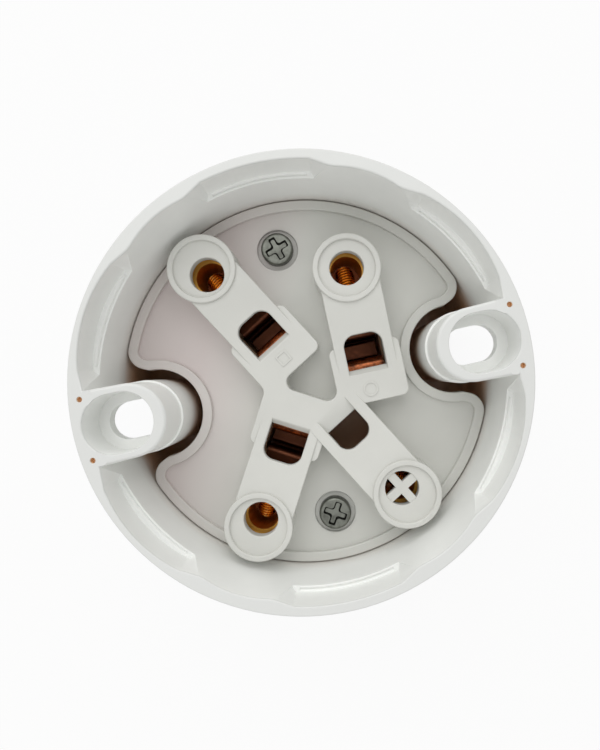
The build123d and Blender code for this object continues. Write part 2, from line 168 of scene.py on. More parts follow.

# Painted warm reflected light on the plate's floor: its direction, start and full distance along
# it, and levels
CAST_DIRECTION = (-0.9, 0.44, 0.0)
CAST_REACH = (5.0, 18.0)
CAST_LEVELS = (20.5, 18.9)
PAINTED_REFLECTION_COLOUR = "#D0C6C3"

# Studio, in metres and watts: the floor's half side, and each light's place, size and power
FLOOR_HALF = 1.5
LIGHTS = (
    ("Softbox", (0.00, 0.57, 0.57), 1.00, 4.1),
    ("Fill", (-0.20, -0.50, 0.55), 0.70, 0.8),
)
LIGHT_AIM = (0.0, 0.0, 0.02)
DOME_STRENGTH = 0.64
CARD_WHITENESS = 0.9
CARD_COLOUR = "#E0E0DF"
WHITE = (1.0, 1.0, 1.0, 1.0)

# Camera: sensor and lens, shift of the frame, and place beside the middle
SENSOR_HEIGHT = 36.0
LENS = 26.64
FRAME_SHIFT = (-0.044, -0.0033)
CAMERA_PLACE = (4.67, 0.41)


def linear(hex_colour):
    """Linear RGBA of an sRGB hex colour."""
    channels = [int(hex_colour[i:i + 2], 16) / 255 for i in (1, 3, 5)]
    return tuple(
        c / 12.92 if c <= 0.04045 else ((c + 0.055) / 1.055) ** 2.4 for c in channels
    ) + (1.0,)


def per_mm(size):
    """Texture scale, in repeats a metre, of a pattern whose repeat is that many millimetres."""
    return 1.0 / (size * MM)


class SocketSizes(bpy.types.PropertyGroup):
    """Sizes that the mouldings, screws and camera are made to"""

    shell_edge: bpy.props.FloatProperty(
        name="Shell Edge", description="Rounding of the shell's edges",
        default=0.25 * MM, min=0.0, unit="LENGTH", precision=5,
    )
    tower_edge: bpy.props.FloatProperty(
        name="Tower Edge", description="Rounding round the top of the mounting towers",
        default=0.45 * MM, min=0.0, unit="LENGTH", precision=5,
    )
    ledge_edge: bpy.props.FloatProperty(
        name="Ledge Edge", description="Rounding of the ledge round each mounting tower",
        default=0.07 * MM, min=0.0, unit="LENGTH", precision=5,
    )
    plate_edge: bpy.props.FloatProperty(
        name="Plate Edge", description="Rounding of the edges of the plate, arms and pads",
        default=0.22 * MM, min=0.0, unit="LENGTH", precision=5,
    )
    fine_edge: bpy.props.FloatProperty(
        name="Fine Edge", description="Rounding of the raised marks, dimples and break lines",
        default=0.05 * MM, min=0.0, unit="LENGTH", precision=5,
    )
    thread_diameter: bpy.props.FloatProperty(
        name="Thread Diameter", description="Outside diameter of the terminal screws' thread",
        default=3.1 * MM, unit="LENGTH", precision=5,
    )
    thread_pitch: bpy.props.FloatProperty(
        name="Thread Pitch", description="Distance from one crest of the thread to the next",
        default=0.56 * MM, unit="LENGTH", precision=5,
    )
    thread_depth: bpy.props.FloatProperty(
        name="Thread Depth", description="Depth of the terminal screws' thread",
        default=0.37 * MM, unit="LENGTH", precision=5,
    )
    plate_screw_diameter: bpy.props.FloatProperty(
        name="Plate Screw Diameter", description="Outside diameter of the plate screws' thread",
        default=2.9 * MM, unit="LENGTH", precision=5,
    )
    plate_screw_pitch: bpy.props.FloatProperty(
        name="Plate Screw Pitch", description="Pitch of the plate screws' coarse thread",
        default=1.1 * MM, unit="LENGTH", precision=5,
    )
    plate_screw_depth: bpy.props.FloatProperty(
        name="Plate Screw Thread Depth", description="Depth of the plate screws' thread",
        default=0.4 * MM, unit="LENGTH", precision=5,
    )
    camera_height: bpy.props.FloatProperty(
        name="Camera Height", description="Height of the camera over the floor",
        default=112.0 * MM, unit="LENGTH",
    )
    camera_turn: bpy.props.FloatProperty(
        name="Camera Turn", description="Turn of the camera about the vertical",
        default=radians(-12.47), subtype="ANGLE",
    )


class SocketColours(bpy.types.PropertyGroup):
    """Colours of the finishes"""

    shell: bpy.props.FloatVectorProperty(
        name="Shell", description="Colour of the moulded shell",
        default=linear("#F3F4F1"), size=4, subtype="COLOR", min=0.0, max=1.0,
    )
    plate: bpy.props.FloatVectorProperty(
        name="Plate", description="Colour of the moulded rear plate",
        default=linear("#CFCFC9"), size=4, subtype="COLOR", min=0.0, max=1.0,
    )
    brass: bpy.props.FloatVectorProperty(
        name="Brass", description="Colour of the terminal blocks",
        default=linear("#FCC464"), size=4, subtype="COLOR", min=0.0, max=1.0,
    )
    screw_brass: bpy.props.FloatVectorProperty(
        name="Screw Brass", description="Colour of the terminal screws",
        default=linear("#FFB660"), size=4, subtype="COLOR", min=0.0, max=1.0,
    )
    bronze: bpy.props.FloatVectorProperty(
        name="Contact Bronze", description="Colour of the contact strips",
        default=linear("#C07048"), size=4, subtype="COLOR", min=0.0, max=1.0,
    )
    zinc: bpy.props.FloatVectorProperty(
        name="Zinc", description="Colour of the plate screws' plating",
        default=linear("#767871"), size=4, subtype="COLOR", min=0.0, max=1.0,
    )


def add_node(tree, kind, inputs=None, **settings):
    """Adds a node with its settings; inputs take values or other nodes' output sockets."""
    made = tree.nodes.new(kind)
    for name, value in settings.items():
        setattr(made, name, value)
    for socket, value in (inputs or {}).items():
        if isinstance(value, bpy.types.NodeSocket):
            tree.links.new(value, made.inputs[socket])
        else:
            made.inputs[socket].default_value = value
    return made


def new_material(name):
    """An empty node material, its node tree and its Object coordinates."""
    material = bpy.data.materials.new(name)
    material.use_nodes = True
    tree = material.node_tree
    tree.nodes.clear()
    place = add_node(tree, "ShaderNodeTexCoord").outputs["Object"]
    return material, tree, place


def moulded_plastic(name, colour, roughness, painted_light):
    """Injection-moulded thermoplastic: an even satin skin with a faint ripple and mottling."""
    mottle_size, wear_size, spark_size = 9.0, 2.5, 0.35
    mottle_shade = 0.955
    skin_depth = 0.02 * MM
    material, tree, place = new_material(name)
    colour = tuple(colour)
    darker = tuple(c * mottle_shade for c in colour[:3]) + (1.0,)
    cloud = add_node(
        tree, "ShaderNodeTexNoise", {"Vector": place, "Scale": per_mm(mottle_size), "Detail": 3.0}
    )
    mottle = add_node(
        tree, "ShaderNodeMapRange",
        {"Value": cloud.outputs["Fac"], "From Min": 0.35, "From Max": 0.65},
    )
    tone = add_node(
        tree, "ShaderNodeMix",
        {"Factor": mottle.outputs["Result"], "A": colour, "B": darker}, data_type="RGBA",
    )
    # The given function paints light and shade into the tone
    tone = painted_light(tree, place, tone.outputs["Result"])
    wear = add_node(
        tree, "ShaderNodeTexNoise", {"Vector": place, "Scale": per_mm(wear_size), "Detail": 4.0}
    )
    gloss = add_node(
        tree, "ShaderNodeMapRange",
        {
            "Value": wear.outputs["Fac"], "From Min": 0.3, "From Max": 0.7,
            "To Min": roughness - 0.05, "To Max": roughness + 0.06,
        },
    )
    # The tool's spark texture is under 0.1 mm, drawn at 0.35 mm so that it shows
    skin = add_node(
        tree, "ShaderNodeTexNoise", {"Vector": place, "Scale": per_mm(spark_size), "Detail": 2.0}
    )
    ripple = add_node(
        tree, "ShaderNodeBump",
        {"Height": skin.outputs["Fac"], "Strength": 0.12, "Distance": skin_depth},
    )
    shader = add_node(
        tree, "ShaderNodeBsdfPrincipled",
        {
            "Base Color": tone, "Roughness": gloss.outputs["Result"], "IOR": 1.54,
            "Normal": ripple.outputs["Normal"],
        },
    )
    add_node(tree, "ShaderNodeOutputMaterial", {"Surface": shader.outputs["BSDF"]})
    return material


def shell_painted_shade(tree, place, tone):
    """Painted shade: brown low in the closed room and in the dimples, and the top a shade greyer.
    """
    room = add_node(tree, "ShaderNodeAttribute", attribute_name="room_side")
    level = add_node(tree, "ShaderNodeSeparateXYZ", {0: place})
    # Each band paints warm brown shade into the room, stronger deeper down
    for high, low, share, colour in PAINTED_SHADE_BANDS:
        depth = add_node(
            tree, "ShaderNodeMapRange",
            {
                "Value": level.outputs["Z"], "From Min": high * MM, "From Max": low * MM,
                "To Max": share,
            },
        )
        strength = add_node(
            tree, "ShaderNodeMath", {0: room.outputs["Fac"], 1: depth.outputs["Result"]},
            operation="MULTIPLY",
        )
        tone = add_node(
            tree, "ShaderNodeMix",
            {"Factor": strength.outputs[0], "A": tone, "B": linear(colour)}, data_type="RGBA",
        ).outputs["Result"]
    # Painted shade: the top near the rim is drawn a shade greyer
    top = add_node(
        tree, "ShaderNodeMapRange",
        {
            "Value": level.outputs["Z"], "From Min": (RIM_LEVEL - PAINTED_TOP_SHADE_BAND[0]) * MM,
            "From Max": (RIM_LEVEL - PAINTED_TOP_SHADE_BAND[1]) * MM,
        },
    )
    tone = add_node(
        tree, "ShaderNodeMix",
        {"Factor": top.outputs["Result"], "A": tone, "B": linear(PAINTED_TOP_SHADE_COLOUR)},
        data_type="RGBA",
    ).outputs["Result"]
    # The four dimples are one on the positive quarter; their holes are filled with painted brown
    # shade
    quarter = add_node(tree, "ShaderNodeVectorMath", {0: place}, operation="ABSOLUTE")
    centre = (DIMPLE[0] * MM, DIMPLE[1] * MM, (RIM_LEVEL - DIMPLE_DEPTH) * MM)
    away = add_node(
        tree, "ShaderNodeVectorMath", {0: quarter.outputs[0], 1: centre}, operation="DISTANCE"
    )
    in_dimple = add_node(
        tree, "ShaderNodeMath", {0: away.outputs["Value"], 1: DIMPLE_REACH * MM},
        operation="LESS_THAN",
    )
    return add_node(
        tree, "ShaderNodeMix",
        {"Factor": in_dimple.outputs[0], "A": tone, "B": linear(DIMPLE_SHADE_COLOUR)},
        data_type="RGBA",
    ).outputs["Result"]


def plate_painted_reflection(tree, place, tone):
    """Painted warm reflected light: a faint pink over the floor, strongest towards one side."""
    spot = add_node(tree, "ShaderNodeSeparateXYZ", {0: place})
    along = add_node(
        tree, "ShaderNodeVectorMath", {0: place, 1: CAST_DIRECTION}, operation="DOT_PRODUCT"
    )
    side = add_node(
        tree, "ShaderNodeMapRange",
        {
            "Value": along.outputs["Value"], "From Min": CAST_REACH[0] * MM,
            "From Max": CAST_REACH[1] * MM,
        },
    )
    low = add_node(
        tree, "ShaderNodeMapRange",
        {
            "Value": spot.outputs["Z"], "From Min": CAST_LEVELS[0] * MM,
            "From Max": CAST_LEVELS[1] * MM,
        },
    )
    strength = add_node(
        tree, "ShaderNodeMath", {0: side.outputs["Result"], 1: low.outputs["Result"]},
        operation="MULTIPLY",
    )
    return add_node(
        tree, "ShaderNodeMix",
        {"Factor": strength.outputs[0], "A": tone, "B": linear(PAINTED_REFLECTION_COLOUR)},
        data_type="RGBA",
    ).outputs["Result"]


def worked_metal(name, colour, tarnish_and_shade, roughness, line_size, cover, painted_shade_level=None):
    """Cut, rolled or pressed metal: fine tool lines, patches of tarnish and uneven gloss.

    Painted shade darkens the faces whose attribute carries it, and below the given level the metal
    is painted its tarnished colour as painted shade. A larger cover leaves more of the metal
    tarnished.
    """
    patch_size = 1.6
    patch_start = 0.62 - cover
    patch_full = 0.75 - cover / 2
    line_stretch = 0.12
    crevice_shade_factor = 0.3
    painted_shade_blend = 1.5
    line_depth = 0.02 * MM
    material, tree, place = new_material(name)
    # Real tool lines are under 0.1 mm apart, drawn line_size apart so that they show
    drawn_out = add_node(
        tree, "ShaderNodeMapping", {"Vector": place, "Scale": (1.0, 1.0, line_stretch)}
    )
    lines = add_node(
        tree, "ShaderNodeTexNoise",
        {
            "Vector": drawn_out.outputs["Vector"], "Scale": per_mm(line_size), "Detail": 3.0,
            "Roughness": 0.6,
        },
    )
    cloud = add_node(
        tree, "ShaderNodeTexNoise",
        {"Vector": place, "Scale": per_mm(patch_size), "Detail": 4.0, "Roughness": 0.6},
    )
    patches_and_shade = add_node(
        tree, "ShaderNodeMapRange",
        {"Value": cloud.outputs["Fac"], "From Min": patch_start, "From Max": patch_full},
    ).outputs["Result"]
    # Painted shade: below the level the metal turns to its tarnished colour
    if painted_shade_level is not None:
        spot = add_node(tree, "ShaderNodeSeparateXYZ", {0: place})
        depth = add_node(
            tree, "ShaderNodeMapRange",
            {
                "Value": spot.outputs["Z"], "From Min": (painted_shade_level + painted_shade_blend) * MM,
                "From Max": painted_shade_level * MM,
            },
        )
        patches_and_shade = add_node(
            tree, "ShaderNodeMath", {0: patches_and_shade, 1: depth.outputs["Result"]}, operation="MAXIMUM"
        ).outputs[0]
    tone = add_node(
        tree, "ShaderNodeMix",
        {"Factor": patches_and_shade, "A": tuple(colour), "B": linear(tarnish_and_shade)}, data_type="RGBA",
    )
    # Painted shade on the faces whose attribute carries it
    crevice_shade = add_node(tree, "ShaderNodeAttribute", attribute_name="crevice_shade")
    crevice_shade_tone = tuple(c * crevice_shade_factor for c in linear(tarnish_and_shade)[:3]) + (1.0,)
    tone = add_node(
        tree, "ShaderNodeMix",
        {"Factor": crevice_shade.outputs["Fac"], "A": tone.outputs["Result"], "B": crevice_shade_tone},
        data_type="RGBA",
    )
    gloss = add_node(
        tree, "ShaderNodeMapRange",
        {
            "Value": lines.outputs["Fac"], "From Min": 0.3, "From Max": 0.7,
            "To Min": roughness - 0.07, "To Max": roughness + 0.1,
        },
    )
    tooled = add_node(
        tree, "ShaderNodeBump",
        {"Height": lines.outputs["Fac"], "Strength": 0.2, "Distance": line_depth},
    )
    shader = add_node(
        tree, "ShaderNodeBsdfPrincipled",
        {
            "Base Color": tone.outputs["Result"], "Metallic": 1.0,
            "Roughness": gloss.outputs["Result"], "Normal": tooled.outputs["Normal"],
        },
    )
    add_node(tree, "ShaderNodeOutputMaterial", {"Surface": shader.outputs["BSDF"]})
    return material


def make_finish(slot):
    """Makes the material of a record slot."""
    colours = bpy.context.scene.socket_colours
    # Polycarbonate from a polished tool: white, with a soft sheen and a barely visible ripple
    if slot == "shell_plastic":
        # The shell gets painted shade low in its room, in its dimples and on its top
        return moulded_plastic(
            "Moulded_Polycarbonate", colours.shell, roughness=0.34, painted_light=shell_painted_shade
        )
    # The same plastic from a duller tool: a shade greyer and less glossy
    if slot == "plate_plastic":
        # The plate's floor gets painted warm reflected light
        return moulded_plastic(
            "Moulded_Polycarbonate_Satin", colours.plate, roughness=0.42, painted_light=plate_painted_reflection
        )
    # Free-cutting brass, sawn and drilled: yellow, with short tool lines
    if slot == "terminal_brass":
        return worked_metal(
            "Machined_Brass", colours.brass, tarnish_and_shade="#8A5420", roughness=0.36, line_size=0.25,
            cover=-0.08,
        )
    # Brass screw with a rolled thread: more orange, since light is caught between the flanks
    if slot == "screw_brass":
        return worked_metal(
            "Rolled_Brass", colours.screw_brass, tarnish_and_shade="#B0621E", roughness=0.26, line_size=1.2,
            cover=-0.1,
        )
    # Phosphor bronze strip, pressed and folded: coppery, browned, and painted shade near black
    # deep down
    if slot == "contact_copper":
        return worked_metal(
            "Pressed_Phosphor_Bronze", colours.bronze, tarnish_and_shade="#6C4230", roughness=0.36,
            line_size=0.5, cover=0.22, painted_shade_level=15.5,
        )
    # Steel with dull zinc plate: grey, cloudy and only softly glossy
    if slot == "zinc_steel":
        return worked_metal(
            "Zinc_Plated_Steel", colours.zinc, tarnish_and_shade="#5B5C56", roughness=0.36, line_size=0.4,
            cover=0.18,
        )
    raise ValueError(f"no finish for {slot}")


def finish(slot):
    """The material of a record slot, made on first use."""
    for material in bpy.data.materials:
        if material.get("record_slot") == slot:
            return material
    material = make_finish(slot)
    material["record_slot"] = slot
    return material


def new_piece(name, bm, slot, body, node):
    """Makes an object of a bmesh in a node's place, finishes it and hangs it on its body."""
    mesh = bpy.data.meshes.new(name)
    bm.to_mesh(mesh)
    bm.free()
    piece = bpy.data.objects.new(name, mesh)
    bpy.context.scene.collection.objects.link(piece)
    mesh.materials.append(finish(slot))
    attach(piece, body)
    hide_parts(node)
    return piece


def shade_by_angle(bm, angle):
    """Smooth shading, with edges sharper than the angle kept crisp."""
    for face in bm.faces:
        face.smooth = True
    for edge in bm.edges:
        edge.smooth = len(edge.link_faces) == 2 and edge.calc_face_angle(0.0) < angle


def merged_copy(node):
    """A CAD node's mesh with its loose triangles joined and its flat faces made whole."""
    same_point = 0.03 * MM
    sliver = 0.01 * MM
    bm = bmesh.new()
    bm.from_mesh(frame["nodes"][node].data)
    bmesh.ops.remove_doubles(bm, verts=bm.verts, dist=same_point)
    bmesh.ops.dissolve_degenerate(bm, edges=bm.edges, dist=sliver)
    bmesh.ops.dissolve_limit(
        bm, angle_limit=FLAT_ANGLE, use_dissolve_boundaries=False, verts=bm.verts,
        edges=bm.edges, delimit=set(),
    )
    return bm


def round_edges(bm, choose):
    """Rounds outer corners as a mould leaves them; choose gives each edge's radius or 0."""
    same_point = 0.002 * MM
    groups = {}
    for edge in bm.edges:
        if edge.is_convex and edge.calc_face_angle(0.0) > CORNER_ANGLE:
            radius = choose(edge, (edge.verts[0].co + edge.verts[1].co) / 2 / MM)
            if radius:
                groups.setdefault(radius, []).append(edge)
    for radius in sorted(groups, reverse=True):
        bmesh.ops.bevel(
            bm, geom=[edge for edge in groups[radius] if edge.is_valid], offset=radius,
            offset_type="OFFSET", segments=3, profile=0.5, affect="EDGES", clamp_overlap=False,
            material=-1, loop_slide=True,
        )
    bmesh.ops.remove_doubles(bm, verts=bm.verts, dist=same_point)


def in_notch(x, y, margin):
    """Whether a point lies in the notch that leads a mounting screw to its shelf."""
    across = hypot(min(abs(x) - NOTCH_CENTRE, 0.0), y)
    return across < NOTCH_RADIUS + margin


def shell_edge_radius(edge, middle):
    """Radius of a shell edge; the closed room under the plate keeps its crisp corners."""
    sizes = bpy.context.scene.socket_sizes
    x, y, z = middle
    away = hypot(x, y)
    rim = RIM_LEVEL - NEAR
    if hypot(abs(x) - DIMPLE[0], abs(y) - DIMPLE[1]) < 2 * DIMPLE_REACH and z > KNOCKOUT_FLOOR:
        return sizes.fine_edge
    in_knockout = KNOCKOUT_BAND[0] < away < KNOCKOUT_BAND[1] and abs(y) > TOWER_ZONE
    if in_knockout and KNOCKOUT_FLOOR - BREAK_LINE_REACH < z < rim:
        on_break_line = away > BREAK_LINE_RADIUS - BREAK_LINE_REACH
        return sizes.fine_edge * (1 if on_break_line else 2)
    if z > rim and abs(y) < TOWER_RADIUS + TOWER_FLARE and away < WALL_INSIDE:
        from_centre = hypot(min(abs(x) - TOWER_CENTRE, 0.0), y)
        on_outline = from_centre > TOWER_RADIUS - TOWER_OUTLINE
        return sizes.tower_edge if on_outline else sizes.fine_edge * 3
    if abs(z - TOWER_LEDGE) < NEAR and away < WALL_INSIDE:
        return sizes.ledge_edge
    if z > PLATE_FLOOR and away > WALL_INSIDE:
        return sizes.shell_edge
    on_notch = in_notch(x, y, NOTCH_MARGIN) and z > NOTCH_START
    if z > PLATE_FLOOR or away > WALL_OUTSIDE or on_notch:
        return sizes.fine_edge * 2
    return 0.0


def plate_edge_radius(edge, middle):
    """Radius of a plate edge; the hidden underside keeps its crisp corners."""
    sizes = bpy.context.scene.socket_sizes
    x, y, z = middle
    faces_down = min(face.normal.z for face in edge.link_faces) < -0.5
    if z < PLATE_FLOOR - NEAR or faces_down:
        return 0.0
    for name in MARKED_ARMS:
        angle, (pin_x, pin_y), _ = ARMS[name]
        mark_x = pin_x + MARK_PLACE * cos(radians(angle))
        mark_y = pin_y + MARK_PLACE * sin(radians(angle))
        if hypot(x - mark_x, y - mark_y) < MARK_REACH and z > ARM_TOP - NEAR:
            return sizes.fine_edge
    angle, (pin_x, pin_y), hole = ARMS["loop"]
    hole_x, hole_y = pin_x + hole * cos(radians(angle)), pin_y + hole * sin(radians(angle))
    if hypot(x - hole_x, y - hole_y) < CROSS_REACH:
        return sizes.fine_edge * 2
    return sizes.plate_edge


def mark_room_side(bm):
    """Marks the faces that look into the room inside the shell, for the finish's painted shade.

    Each face is judged by a point just in front of it. Near the rounded front edge, where the
    outside comes in nearly as far as the room, only a face that looks in counts.
    """
    in_front = 0.4
    notch_margin = 0.2
    layer = bm.faces.layers.float.new("room_side")
    for face in bm.faces:
        x, y, z = (face.calc_center_median() + face.normal * in_front * MM) / MM
        away = hypot(x, y)
        looks_in = face.normal.z > 0.1 or face.normal.x * x + face.normal.y * y < 0.0
        on_front_edge = z <= FRONT_EDGE_TOP and away >= FRONT_EDGE_INSIDE
        room = z > FRONT_WALL and away < WALL_MIDDLE and (looks_in or not on_front_edge)
        face[layer] = 1.0 if room and not in_notch(x, y, notch_margin) else 0.0


def shown_plain(tree):
    """1 for the rays that see the backdrop as plain white, the camera's and a gloss's, else 0."""
    ray = add_node(tree, "ShaderNodeLightPath")
    return add_node(
        tree, "ShaderNodeMath",
        {0: ray.outputs["Is Camera Ray"], 1: ray.outputs["Is Glossy Ray"]}, operation="MAXIMUM",
    ).outputs[0]


class SOCKET_OT_stage(bpy.types.Operator):
    """Make the floor, the studio light and the camera"""

    bl_idname = "socket.stage"
    bl_label = "Stage"

    def execute(self, context):
        scene = context.scene
        sizes = scene.socket_sizes
        scene.view_settings.view_transform = "Standard"

        world = bpy.data.worlds.new("Studio")
        scene.world = world
        world.use_nodes = True
        tree = world.node_tree
        tree.nodes.clear()
        shown = shown_plain(tree)
        dome = add_node(tree, "ShaderNodeBackground", {"Color": WHITE, "Strength": DOME_STRENGTH})
        backdrop = add_node(tree, "ShaderNodeBackground", {"Color": WHITE, "Strength": 1.0})
        mixed = add_node(
            tree, "ShaderNodeMixShader",
            {"Fac": shown, 1: dome.outputs[0], 2: backdrop.outputs[0]},
        )
        add_node(tree, "ShaderNodeOutputWorld", {"Surface": mixed.outputs[0]})

        bm = bmesh.new()
        bmesh.ops.create_grid(bm, x_segments=1, y_segments=1, size=FLOOR_HALF)
        mesh = bpy.data.meshes.new("Floor")
        bm.to_mesh(mesh)
        bm.free()
        floor = bpy.data.objects.new("Floor", mesh)
        scene.collection.objects.link(floor)
        # White card: matt, mostly seen as plain white, and the rest keeps the socket's shadow
        material, tree, _ = new_material("White_Card")
        share = add_node(
            tree, "ShaderNodeMath", {0: shown_plain(tree), 1: CARD_WHITENESS},
            operation="MULTIPLY",
        )
        card = add_node(tree, "ShaderNodeBsdfDiffuse", {"Color": linear(CARD_COLOUR)})
        white = add_node(tree, "ShaderNodeEmission", {"Color": WHITE, "Strength": 1.0})
        both = add_node(
            tree, "ShaderNodeMixShader",
            {"Fac": share.outputs[0], 1: card.outputs[0], 2: white.outputs[0]},
        )
        add_node(tree, "ShaderNodeOutputMaterial", {"Surface": both.outputs[0]})
        mesh.materials.append(material)

        for name, place, size, power in LIGHTS:
            lamp = bpy.data.lights.new(name, "AREA")
            lamp.energy = power
            lamp.size = size
            holder = bpy.data.objects.new(name, lamp)
            scene.collection.objects.link(holder)
            holder.location = place
            aim = Vector(LIGHT_AIM) - Vector(place)
            holder.rotation_euler = aim.to_track_quat("-Z", "Y").to_euler()
            holder.visible_camera = False

        camera = bpy.data.cameras.new("Camera")
        camera.sensor_fit = "VERTICAL"
        camera.sensor_height = SENSOR_HEIGHT
        camera.lens = LENS
        camera.shift_x, camera.shift_y = FRAME_SHIFT
        camera.clip_start = 0.005
        camera.clip_end = 20.0
        viewer = bpy.data.objects.new("Camera", camera)
        scene.collection.objects.link(viewer)
        viewer.location = (CAMERA_PLACE[0] * MM, CAMERA_PLACE[1] * MM, sizes.camera_height)
        viewer.rotation_euler = (0.0, 0.0, sizes.camera_turn)
        scene.camera = viewer
        return {"FINISHED"}


class SOCKET_OT_metalwork(bpy.types.Operator):
    """Finish the terminal blocks and the contacts"""

    bl_idname = "socket.metalwork"
    bl_label = "Metalwork"

    def execute(self, context):
        slots = {entry["node"]: entry["material_slot"] for entry in frame["record"]["subparts"]}
        for node, piece in frame["nodes"].items():
            piece.data.materials.clear()
            piece.data.materials.append(finish(slots[node]))
        return {"FINISHED"}


class SOCKET_OT_mouldings(bpy.types.Operator):
    """Round the edges of the shell and of the rear plate"""

    bl_idname = "socket.mouldings"
    bl_label = "Mouldings"

    def execute(self, context):
        for node, slot, choose in (
            ("shell", "shell_plastic", shell_edge_radius),
            ("back_plate", "plate_plastic", plate_edge_radius),
        ):
            bm = merged_copy(node)
            round_edges(bm, choose)
            if node == "shell":
                mark_room_side(bm)
            shade_by_angle(bm, SMOOTH_ANGLE)
            piece = new_piece(f"moulded_{node}", bm, slot, "housing", node)
            flat = piece.modifiers.new("Flat_Faces", "WEIGHTED_NORMAL")
            flat.weight = 100
            flat.keep_sharp = True
        return {"FINISHED"}


def axis_matrix(name):
    """Place of a terminal screw: z along its axis towards the tip, origin at travel 0."""
    angle, (pin_x, pin_y), hole = ARMS[name]
    along = Vector((cos(radians(angle)), sin(radians(angle)), 0.0))
    start = Vector((pin_x, pin_y, SCREW_LEVEL)) + along * (hole - SCREW_REACH)
    axis = along * cos(SCREW_TILT) - Vector((0.0, 0.0, sin(SCREW_TILT)))
    across = Vector((0.0, 0.0, 1.0)).cross(along)
    up = axis.cross(across)
    turn = Matrix((across, up, axis)).transposed().to_4x4()
    return Matrix.Translation(start * MM) @ turn


def thread_mesh(diameter, pitch, depth, length):
    """A threaded rod along z from 0 to length, closed at both ends, with painted shade in its
    root.
    """
    same_point = 0.001 * MM
    bm = bmesh.new()
    crest = diameter / 2
    profile = [
        bm.verts.new((crest - depth * under, 0.0, -pitch * behind))
        for under, behind in THREAD_PROFILE
    ]
    edges = [bm.edges.new(pair) for pair in zip(profile, profile[1:])]
    turns = int(length / pitch) + 3
    # The turns run up a helix, so the last one doesn't meet the first
    bmesh.ops.spin(
        bm, geom=profile + edges, cent=(0, 0, 0), axis=(0, 0, 1),
        dvec=(0, 0, pitch / THREAD_STEPS), angle=2 * pi * turns, steps=THREAD_STEPS * turns,
        use_merge=False, use_normal_flip=False, use_duplicate=False,
    )
    bmesh.ops.remove_doubles(bm, verts=bm.verts, dist=same_point)
    for level, normal in ((0.0, (0, 0, -1)), (length, (0, 0, 1))):
        cut = bmesh.ops.bisect_plane(
            bm, geom=bm.verts[:] + bm.edges[:] + bm.faces[:], plane_co=(0, 0, level),
            plane_no=normal, clear_outer=True,
        )
        rim = [e for e in cut["geom_cut"] if isinstance(e, bmesh.types.BMEdge)]
        bmesh.ops.edgeloop_fill(bm, edges=rim)
    bmesh.ops.recalc_face_normals(bm, faces=bm.faces)
    # Painted shade, darker towards the thread's root
    crevice_shade = bm.faces.layers.float.new("crevice_shade")
    for face in bm.faces:
        centre = face.calc_center_median()
        below = (crest - hypot(centre.x, centre.y)) / depth
        face[crevice_shade] = below if abs(face.normal.z) < 0.95 else 0.0
    return bm


def add_mesh(bm, part):
    """Adds one bmesh to another and frees it."""
    mesh = bpy.data.meshes.new("part")
    part.to_mesh(mesh)
    part.free()
    bm.from_mesh(mesh)
    bpy.data.meshes.remove(mesh)


def slotted_head():
    """Cheese head along z, with a driver's slot right across its lower end."""
    bm = bmesh.new()
    radius = HEAD_DIAMETER / 2 * MM
    bmesh.ops.create_cone(
        bm, cap_ends=True, segments=HEAD_STEPS, radius1=radius, radius2=radius,
        depth=HEAD_HEIGHT * MM,
        matrix=Matrix.Translation((0, 0, (HEAD_START + HEAD_HEIGHT / 2) * MM)),
    )
    rim = [edge for edge in bm.edges if all(v.co.z < (HEAD_START + NEAR) * MM for v in edge.verts)]
    bmesh.ops.bevel(
        bm, geom=rim, offset=HEAD_ROUNDING * MM, offset_type="OFFSET", segments=3, profile=0.5,
        affect="EDGES", clamp_overlap=True, material=-1,
    )
    half = DRIVE_SLOT_WIDTH / 2 * MM
    floor = (HEAD_START + DRIVE_SLOT_DEPTH) * MM
    for point, normal in (
        ((half, 0, 0), (1, 0, 0)),
        ((-half, 0, 0), (1, 0, 0)),
        ((0, 0, floor), (0, 0, 1)),
    ):
        bmesh.ops.bisect_plane(
            bm, geom=bm.verts[:] + bm.edges[:] + bm.faces[:], plane_co=point, plane_no=normal
        )
    cut = [
        face for face in bm.faces
        if abs(face.calc_center_median().x) < half and face.calc_center_median().z < floor
    ]
    bmesh.ops.delete(bm, geom=cut, context="FACES")
    ends = [
        edge for edge in bm.edges
        if edge.is_boundary and all(abs(v.co.z - floor) < 0.001 * MM for v in edge.verts)
    ]
    bmesh.ops.bridge_loops(bm, edges=ends)
    bmesh.ops.holes_fill(bm, edges=[edge for edge in bm.edges if edge.is_boundary], sides=0)
    bmesh.ops.recalc_face_normals(bm, faces=bm.faces)
    shade_by_angle(bm, SMOOTH_ANGLE)
    return bm


